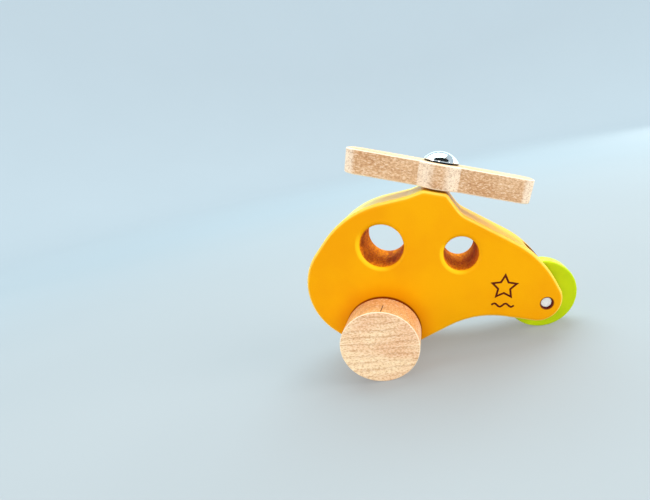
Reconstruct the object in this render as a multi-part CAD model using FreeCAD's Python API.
"""Wooden push-along helicopter: a slab body, a rotor that spins and three turning wheels.

Units are millimetres. +Z is up and +X runs from the nose to the tail. The origin is on the
ground, under the middle of the whole toy, and the body's middle plane is y = 0.
"""

import FreeCAD, Part

import math
import os

# ---- driving dimensions ------------------------------------------------------------------
overall_length = 137.2          # nose to the back of the tail wheel
body_thickness = 28.4           # board that the body is sawn from
edge_round = 2.0                # round along every outer edge of the body
front_wheel_radius = 19.3
tail_wheel_radius = 19.2
rotor_span = 90.0
rotor_thickness = 11.4
rotor_tilt = 20.0               # degrees that the rotor leans back towards the tail
running_clearance = 0.06        # radial, between a turning bore and its pin
rod_radius = 3.0                # steel rod of the front axle and the tail pin

# ---- places worked out from them -----------------------------------------------------------
nose_x = -overall_length / 2
front_axle_x = nose_x + 33.2
tail_axle_x = overall_length / 2 - tail_wheel_radius
body_side = body_thickness / 2

large_window = (nose_x + 42.3, 64.0, 10.5)      # x, z, radius
small_window = (nose_x + 79.3, 53.2, 8.5)

# ---- rotor seat ----------------------------------------------------------------------------
seat_x = nose_x + 73.2          # where the rotor's axis leaves the body
seat_z = 84.2
seat_ahead = 5.4                # flat of the seat, in front of and behind the axis
seat_behind = 3.2
seat_front_round = 4.0
seat_rear_round = 3.3

# ---- rotor ---------------------------------------------------------------------------------
hub_radius = 13.3
blade_width = 18.6
blade_tip_round = 6.5
hub_joint_round = 1.5
rotor_edge_round = 0.8
rotor_rest_angle = -2.9         # degrees, turned about its own axis from the body's middle plane
rotor_pin_radius = 2.5
rotor_pin_depth = 22.0          # length pressed into the body
rotor_washer_radius = 5.0
rotor_washer_thickness = 0.8
rotor_gap = 0.2                 # free play under and over the rotor
cap_radius = 8.4
cap_rim_height = 1.0
cap_height = 5.0
cap_wall = 0.9
cap_boss_radius = 4.5
cap_pin_depth = 2.6             # how far the pin reaches into the cap's boss

# ---- wheels --------------------------------------------------------------------------------
front_wheel_width = 15.0
front_wheel_edge = 0.6
wheel_gap = 1.5                 # between the body and a front wheel
axle_depth = 9.5                # length of axle pressed into each front wheel
spacer_radius = 6.5
spacer_thickness = 1.2
tail_wheel_width = 8.5
tail_wheel_edge = 1.2

# ---- tail slot -----------------------------------------------------------------------------
slot_width = 12.0
slot_wheel_clearance = 2.0
slot_top_x = tail_axle_x - 6.8  # upper end of the slot on the back of the body
slot_top_z = 45.7
pin_recess = 1.4                # depth of each end of the tail pin below the body's side
recess_chamfer = 0.35

AXIS_Y = FreeCAD.Vector(0, 1, 0)
AXIS_Z = FreeCAD.Vector(0, 0, 1)


def rotor_up():
    """Unit vector along the rotor's axis."""
    tilt = math.radians(rotor_tilt)
    return FreeCAD.Vector(math.sin(tilt), 0, math.cos(tilt))


def seat_point(along, below):
    """Point in the middle plane, along the seat towards the tail and below its flat."""
    tilt = math.radians(rotor_tilt)
    x = seat_x + along * math.cos(tilt) - below * math.sin(tilt)
    z = seat_z - along * math.sin(tilt) - below * math.cos(tilt)
    return x, z


def outline_circles():
    """Circles that the body's outline runs round, clockwise from the nose, as x, z, radius.

    A negative radius is a circle outside the body, which makes a hollow.
    """
    seat_front = seat_point(-seat_ahead, seat_front_round)
    seat_rear = seat_point(seat_behind, seat_rear_round)
    nose_radius = 30.8
    return [
        (nose_x + nose_radius, 43.4, nose_radius),
        (nose_x + 48.7, 36.3, 48.2),                      # crown over the large window
        (nose_x + 58.4, 91.0, -6.0),                      # rise to the rotor seat
        (seat_front[0], seat_front[1], seat_front_round),
        (seat_rear[0], seat_rear[1], seat_rear_round),
        (nose_x + 92.2, 80.2, -12.1),                     # hollow behind the rotor
        (nose_x + 70.7, 9.6, 57.0),                       # long back
        (tail_axle_x - 3.5, 21.1, 12.0),                  # tail tip
        (nose_x + 81.6, -25.4, -42.9),                    # arch under the body
        (nose_x + 39.0, 46.2, 38.8),                      # keel behind the front wheels
    ]


def tangent_normal(first, second):
    """Outward normal of the straight line that touches two circles on their left side."""
    dx = second[0] - first[0]
    dz = second[1] - first[1]
    distance = math.hypot(dx, dz)
    along = (first[2] - second[2]) / distance
    across = math.sqrt(1 - along * along)
    nx = (dx * along - dz * across) / distance
    nz = (dz * along + dx * across) / distance
    return nx, nz


def point_on(circle, angle, y):
    """Point of a circle of the outline at an angle, in the plane y."""
    x = circle[0] + circle[2] * math.cos(angle)
    z = circle[1] + circle[2] * math.sin(angle)
    return FreeCAD.Vector(x, y, z)


def belt_wire(circles, y):
    """Closed wire that runs round the circles like a belt: arcs joined by tangent lines."""
    count = len(circles)
    angles = []
    for index, circle in enumerate(circles):
        nx, nz = tangent_normal(circle, circles[(index + 1) % count])
        angles.append(math.atan2(nz, nx))
    edges = []
    for index, circle in enumerate(circles):
        arrive = angles[index - 1]
        leave = angles[index]
        turn = (leave - arrive + math.pi) % (2 * math.pi) - math.pi
        start = point_on(circle, arrive, y)
        middle = point_on(circle, arrive + turn / 2, y)
        end = point_on(circle, arrive + turn, y)
        edges.append(Part.Arc(start, middle, end).toShape())
        next_start = point_on(circles[(index + 1) % count], leave, y)
        edges.append(Part.makeLine(end, next_start))
    return Part.Wire(edges)


def cross_rod(x, z, radius, y_low, y_high):
    """Cylinder along Y between two planes."""
    return Part.makeCylinder(radius, y_high - y_low, FreeCAD.Vector(x, y_low, z), AXIS_Y)


def cross_ring(x, z, outer, inner, y_low, y_high):
    """Plain ring along Y."""
    disc = cross_rod(x, z, outer, y_low, y_high)
    return disc.cut(cross_rod(x, z, inner, y_low - 1, y_high + 1))


def side_edges(solid):
    """Edges of a slab that lie in its two side faces."""
    found = []
    for edge in solid.Edges:
        box = edge.BoundBox
        flat = box.YLength < 1e-6
        if flat and abs(abs(box.YMin) - body_side) < 1e-6:
            found.append(edge)
    return found


def tail_slot():
    """Space for the tail wheel: open at the top, the back and below, square at its upper end."""
    axle = FreeCAD.Vector(tail_axle_x, 0, tail_wheel_radius)
    top = FreeCAD.Vector(slot_top_x, 0, slot_top_z)
    clear = tail_wheel_radius + slot_wheel_clearance
    reach = top - axle
    towards_axle = math.atan2(-reach.z, -reach.x)
    wall_angle = towards_axle - math.asin(clear / reach.Length)
    wall = FreeCAD.Vector(math.cos(wall_angle), 0, math.sin(wall_angle))
    corners = [
        top - wall * 12,
        top + wall * 60,
        FreeCAD.Vector(overall_length, 0, -30),
        FreeCAD.Vector(overall_length, 0, slot_top_z + 20),
    ]
    half = FreeCAD.Vector(0, slot_width / 2, 0)
    loop = [corner - half for corner in corners]
    loop.append(loop[0])
    return Part.Face(Part.makePolygon(loop)).extrude(half * 2)


def recess_cutter(side):
    """Countersunk mouth of the tail pin's hole, on one side of the body."""
    base = FreeCAD.Vector(tail_axle_x, side * (body_side - recess_chamfer), tail_wheel_radius)
    direction = AXIS_Y * side
    return Part.makeCone(rod_radius, rod_radius + recess_chamfer, recess_chamfer, base, direction)


def make_fuselage():
    """Sawn body with rounded edges, two windows, the tail slot and the three bores."""
    slab = Part.Face(belt_wire(outline_circles(), -body_side)).extrude(AXIS_Y * body_thickness)
    for x, z, radius in (large_window, small_window):
        slab = slab.cut(cross_rod(x, z, radius, -body_side - 1, body_side + 1))
    body = slab.makeFillet(edge_round, side_edges(slab))
    body = body.cut(tail_slot())
    reach = body_side + 1
    axle_bore = rod_radius + running_clearance
    body = body.cut(cross_rod(front_axle_x, front_wheel_radius, axle_bore, -reach, reach))
    body = body.cut(cross_rod(tail_axle_x, tail_wheel_radius, rod_radius, -reach, reach))
    for side in (-1, 1):
        body = body.cut(recess_cutter(side))
    foot = FreeCAD.Vector(seat_x, 0, seat_z) - rotor_up() * rotor_pin_depth
    bore = Part.makeCylinder(rotor_pin_radius, rotor_pin_depth + 10, foot, rotor_up())
    return body.cut(bore)


def round_rectangle(length, width, radius):
    """Face in the XY plane, centred, with rounded corners."""
    box = Part.makeBox(length, width, 1, FreeCAD.Vector(-length / 2, -width / 2, 0))
    uprights = [edge for edge in box.Edges if edge.BoundBox.ZLength > 0.5]
    rounded = box.makeFillet(radius, uprights)
    for face in rounded.Faces:
        if face.BoundBox.ZMax < 1e-6:
            return face
    raise ValueError("rounded rectangle has no lower face")


def from_rotor_frame(shape, lift):
    """Moves a shape made on the XY plane to the tilted seat, a height above its flat."""
    moved = shape.copy()
    moved.rotate(FreeCAD.Vector(0, 0, 0), AXIS_Y, rotor_tilt)
    moved.translate(FreeCAD.Vector(seat_x, 0, seat_z) + rotor_up() * lift)
    return moved


def make_rotor():
    """One-piece two-blade rotor with a round hub."""
    up = AXIS_Z * rotor_thickness
    blades = round_rectangle(rotor_span, blade_width, blade_tip_round).extrude(up)
    hub = Part.makeCylinder(hub_radius, rotor_thickness)
    plank = blades.fuse(hub).removeSplitter()
    joint_reach = math.sqrt(hub_radius ** 2 - (blade_width / 2) ** 2)
    joints = []
    for edge in plank.Edges:
        box = edge.BoundBox
        upright = box.ZLength > rotor_thickness - 0.01 and box.XLength < 0.01
        if upright and abs(abs(box.Center.x) - joint_reach) < 0.1:
            joints.append(edge)
    plank = plank.makeFillet(hub_joint_round, joints)
    rims = [edge for edge in plank.Edges if edge.BoundBox.ZLength < 0.01]
    plank = plank.makeFillet(rotor_edge_round, rims)
    bore = Part.makeCylinder(rotor_pin_radius + running_clearance, rotor_thickness + 2,
                             FreeCAD.Vector(0, 0, -1))
    plank = plank.cut(bore)
    plank.rotate(FreeCAD.Vector(0, 0, 0), AXIS_Z, rotor_rest_angle)
    return from_rotor_frame(plank, rotor_washer_thickness + rotor_gap)


def make_rotor_washer():
    """Washer between the body's seat and the rotor."""
    disc = Part.makeCylinder(rotor_washer_radius, rotor_washer_thickness)
    hole = Part.makeCylinder(rotor_pin_radius, rotor_washer_thickness)
    return from_rotor_frame(disc.cut(hole), 0)


def cap_lift():
    """Height of the cap's rim above the seat."""
    return rotor_washer_thickness + rotor_thickness + 2 * rotor_gap


def make_rotor_pin():
    """Steel pin pressed into the body, which carries the rotor and the cap."""
    length = rotor_pin_depth + cap_lift() + cap_pin_depth
    pin = Part.makeCylinder(rotor_pin_radius, length)
    ends = [edge for edge in pin.Edges if edge.BoundBox.ZLength < 0.01]
    return from_rotor_frame(pin.makeChamfer(0.4, ends), -rotor_pin_depth)


def dome(radius, rim, height):
    """Round cap: a short upright rim under a spherical dome, standing on z = 0."""
    crown = height - rim
    ball_radius = (radius ** 2 + crown ** 2) / (2 * crown)
    half_angle = math.asin(radius / ball_radius)
    top = FreeCAD.Vector(0, 0, height)
    middle = FreeCAD.Vector(ball_radius * math.sin(half_angle / 2), 0,
                            height - ball_radius * (1 - math.cos(half_angle / 2)))
    shoulder = FreeCAD.Vector(radius, 0, rim)
    foot = FreeCAD.Vector(radius, 0, 0)
    centre = FreeCAD.Vector(0, 0, 0)
    edges = [
        Part.Arc(top, middle, shoulder).toShape(),
        Part.makeLine(shoulder, foot),
        Part.makeLine(foot, centre),
        Part.makeLine(centre, top),
    ]
    return Part.Face(Part.Wire(edges)).revolve(centre, AXIS_Z, 360)


def make_rotor_cap():
    """Domed shell with a boss that is pressed onto the end of the pin."""
    shell = dome(cap_radius, cap_rim_height, cap_height)
    hollow = dome(cap_radius - cap_wall, cap_rim_height, cap_height - cap_wall)
    boss = Part.makeCylinder(cap_boss_radius, cap_height - cap_wall)
    cap = shell.cut(hollow).fuse(boss.common(shell)).removeSplitter()
    hole = Part.makeCylinder(rotor_pin_radius, cap_pin_depth)
    return from_rotor_frame(cap.cut(hole), cap_lift())


def make_front_axle():
    """Steel rod across the body, pressed into both front wheels."""
    reach = body_side + wheel_gap + axle_depth
    rod = cross_rod(front_axle_x, front_wheel_radius, rod_radius, -reach, reach)
    ends = [edge for edge in rod.Edges if edge.BoundBox.YLength < 0.01]
    return rod.makeChamfer(0.5, ends)


def make_front_wheel(side):
    """Plain wooden disc with a blind hole for the axle; side is -1 for left, 1 for right."""
    inner = body_side + wheel_gap
    outer = inner + front_wheel_width
    low, high = sorted((side * inner, side * outer))
    disc = cross_rod(front_axle_x, front_wheel_radius, front_wheel_radius, low, high)
    rims = [edge for edge in disc.Edges if edge.BoundBox.YLength < 0.01]
    disc = disc.makeFillet(front_wheel_edge, rims)
    low, high = sorted((side * (inner - 1), side * (inner + axle_depth)))
    return disc.cut(cross_rod(front_axle_x, front_wheel_radius, rod_radius, low, high))


def make_axle_spacer(side):
    """Thin ring on the axle that keeps a front wheel off the painted side."""
    inner = rod_radius + running_clearance
    low, high = sorted((side * body_side, side * (body_side + spacer_thickness)))
    return cross_ring(front_axle_x, front_wheel_radius, spacer_radius, inner, low, high)


def make_tail_wheel():
    """Wooden disc that runs on the tail pin, in the slot."""
    half = tail_wheel_width / 2
    disc = cross_rod(tail_axle_x, tail_wheel_radius, tail_wheel_radius, -half, half)
    rims = [edge for edge in disc.Edges if edge.BoundBox.YLength < 0.01]
    disc = disc.makeFillet(tail_wheel_edge, rims)
    bore = rod_radius + running_clearance
    return disc.cut(cross_rod(tail_axle_x, tail_wheel_radius, bore, -half - 1, half + 1))


def make_tail_pin():
    """Steel pin pressed through both ears of the slot."""
    reach = body_side - pin_recess
    rod = cross_rod(tail_axle_x, tail_wheel_radius, rod_radius, -reach, reach)
    ends = [edge for edge in rod.Edges if edge.BoundBox.YLength < 0.01]
    return rod.makeFillet(0.5, ends)


def all_parts():
    """Every separate piece, by node name."""
    return {
        "fuselage": make_fuselage(),
        "rotor": make_rotor(),
        "rotor_pin": make_rotor_pin(),
        "rotor_washer": make_rotor_washer(),
        "rotor_cap": make_rotor_cap(),
        "front_axle": make_front_axle(),
        "front_wheel_left": make_front_wheel(-1),
        "front_wheel_right": make_front_wheel(1),
        "axle_spacer_left": make_axle_spacer(-1),
        "axle_spacer_right": make_axle_spacer(1),
        "tail_wheel": make_tail_wheel(),
        "tail_pin": make_tail_pin(),
    }


os.makedirs("parts", exist_ok=True)
for name, shape in all_parts().items():
    if not shape.isValid() or len(shape.Solids) != 1:
        raise ValueError(name + " is not one valid solid")
    shape.exportStep("parts/" + name + ".step")
    box = shape.BoundBox
    print(name, "volume", round(shape.Volume, 1), "x", round(box.XMin, 2), round(box.XMax, 2),
          "y", round(box.YMin, 2), round(box.YMax, 2), "z", round(box.ZMin, 2), round(box.ZMax, 2))
